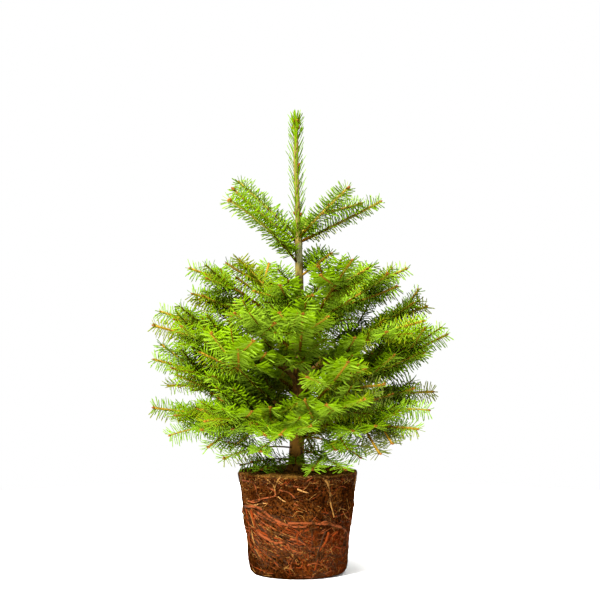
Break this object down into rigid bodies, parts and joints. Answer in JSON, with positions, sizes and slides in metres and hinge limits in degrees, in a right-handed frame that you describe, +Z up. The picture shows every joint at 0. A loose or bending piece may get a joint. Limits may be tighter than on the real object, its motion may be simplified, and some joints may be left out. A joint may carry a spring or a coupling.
{
  "type": "nordmann fir on its root ball",
  "caption": "Young Nordmann fir standing on its bare, tapered root ball: straight trunk and leader, whorls of upswept boughs with flat toothed needle sprays",
  "frame": {"origin": "middle of the flat foot of the root ball, on the ground", "axes": "+Z up along the trunk, -Y towards the front as pictured, +X to the right of that view"},
  "size_m": [0.5911, 0.5163, 0.924],
  "materials": {
    "soil": "matte",
    "bark": "matte",
    "bough_bark": "matte",
    "needles": "matte"
  },
  "bodies": {
    "root": {"root_ball": "soil", "trunk": "bark", "bough_upper_188": "bough_bark", "bough_upper_258": "bough_bark", "bough_upper_303": "bough_bark", "bough_upper_352": "bough_bark", "bough_upper_128": "bough_bark", "bough_middle_176": "bough_bark", "bough_middle_235": "bough_bark", "bough_middle_272": "bough_bark", "bough_middle_330": "bough_bark", "bough_middle_12": "bough_bark", "bough_broad_186": "bough_bark", "bough_broad_225": "bough_bark", "bough_broad_292": "bough_bark", "bough_broad_350": "bough_bark", "leader_foliage": "needles", "foliage_upper_188": "needles", "foliage_upper_258": "needles", "foliage_upper_303": "needles", "foliage_upper_352": "needles", "foliage_upper_38": "needles", "foliage_upper_128": "needles", "foliage_upper_168": "needles", "foliage_middle_176": "needles", "foliage_middle_235": "needles", "foliage_middle_272": "needles", "foliage_middle_330": "needles", "foliage_middle_12": "needles", "foliage_middle_92": "needles", "foliage_middle_196": "needles", "foliage_broad_186": "needles", "foliage_broad_225": "needles", "foliage_broad_292": "needles", "foliage_broad_350": "needles", "foliage_broad_30": "needles", "foliage_broad_88": "needles", "foliage_broad_150": "needles", "foliage_lower_182": "needles", "foliage_lower_228": "needles", "foliage_lower_262": "needles", "foliage_lower_301": "needles", "foliage_lower_330": "needles", "foliage_lower_6": "needles", "foliage_lower_50": "needles", "foliage_lower_115": "needles", "foliage_low_198": "needles", "foliage_low_222": "needles", "foliage_low_306": "needles", "foliage_low_322": "needles", "foliage_low_346": "needles", "foliage_low_80": "needles", "foliage_low_204": "needles", "foliage_top_155": "needles", "foliage_top_190": "needles", "foliage_top_325": "needles", "foliage_top_356": "needles", "foliage_top_75": "needles", "foliage_inner_220": "needles", "foliage_inner_335": "needles"}
  },
  "joints": []
}
